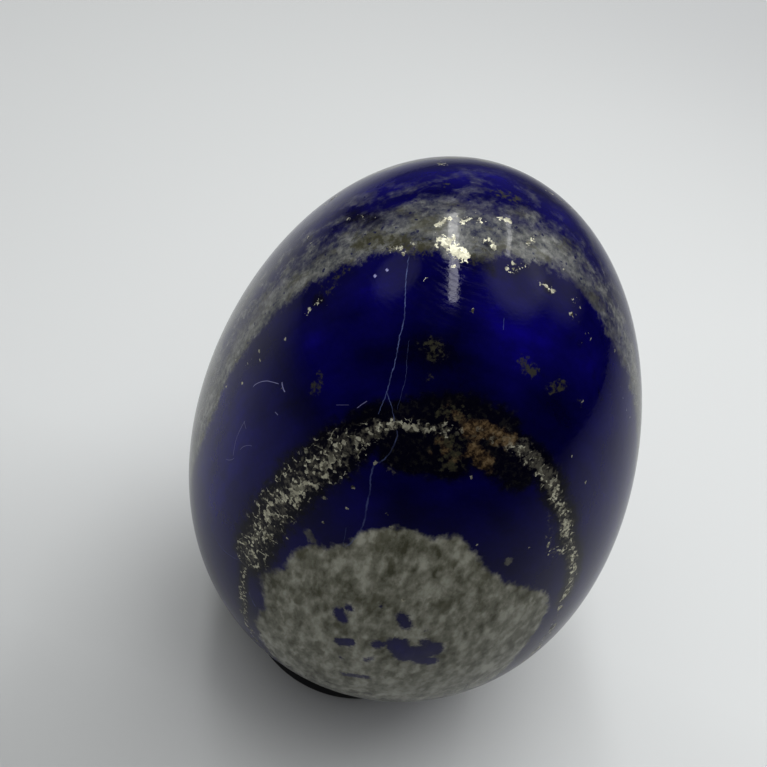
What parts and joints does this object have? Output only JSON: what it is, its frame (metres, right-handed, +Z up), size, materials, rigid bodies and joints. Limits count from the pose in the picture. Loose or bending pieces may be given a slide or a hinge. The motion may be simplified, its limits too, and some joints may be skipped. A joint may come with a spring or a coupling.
{
  "type": "polished lapis lazuli egg on a ring stand",
  "caption": "Egg-shaped polished lapis lazuli stone resting blunt end down in a small black ring stand, for display.",
  "frame": {"origin": "centre of the ring stand's foot, on the surface it stands on", "axes": "+Z up, through the ring's centre; the egg's top leans four degrees towards -X; the pictured side faces -Y"},
  "size_m": [0.0481, 0.048, 0.0699],
  "materials": {
    "lapis": "polished opaque stone: deep blue lazurite with grey-green calcite bands and brassy pyrite flecks",
    "ring": "smooth black moulded plastic"
  },
  "bodies": {
    "root": {"egg": "lapis", "ring_stand": "ring"}
  },
  "joints": []
}
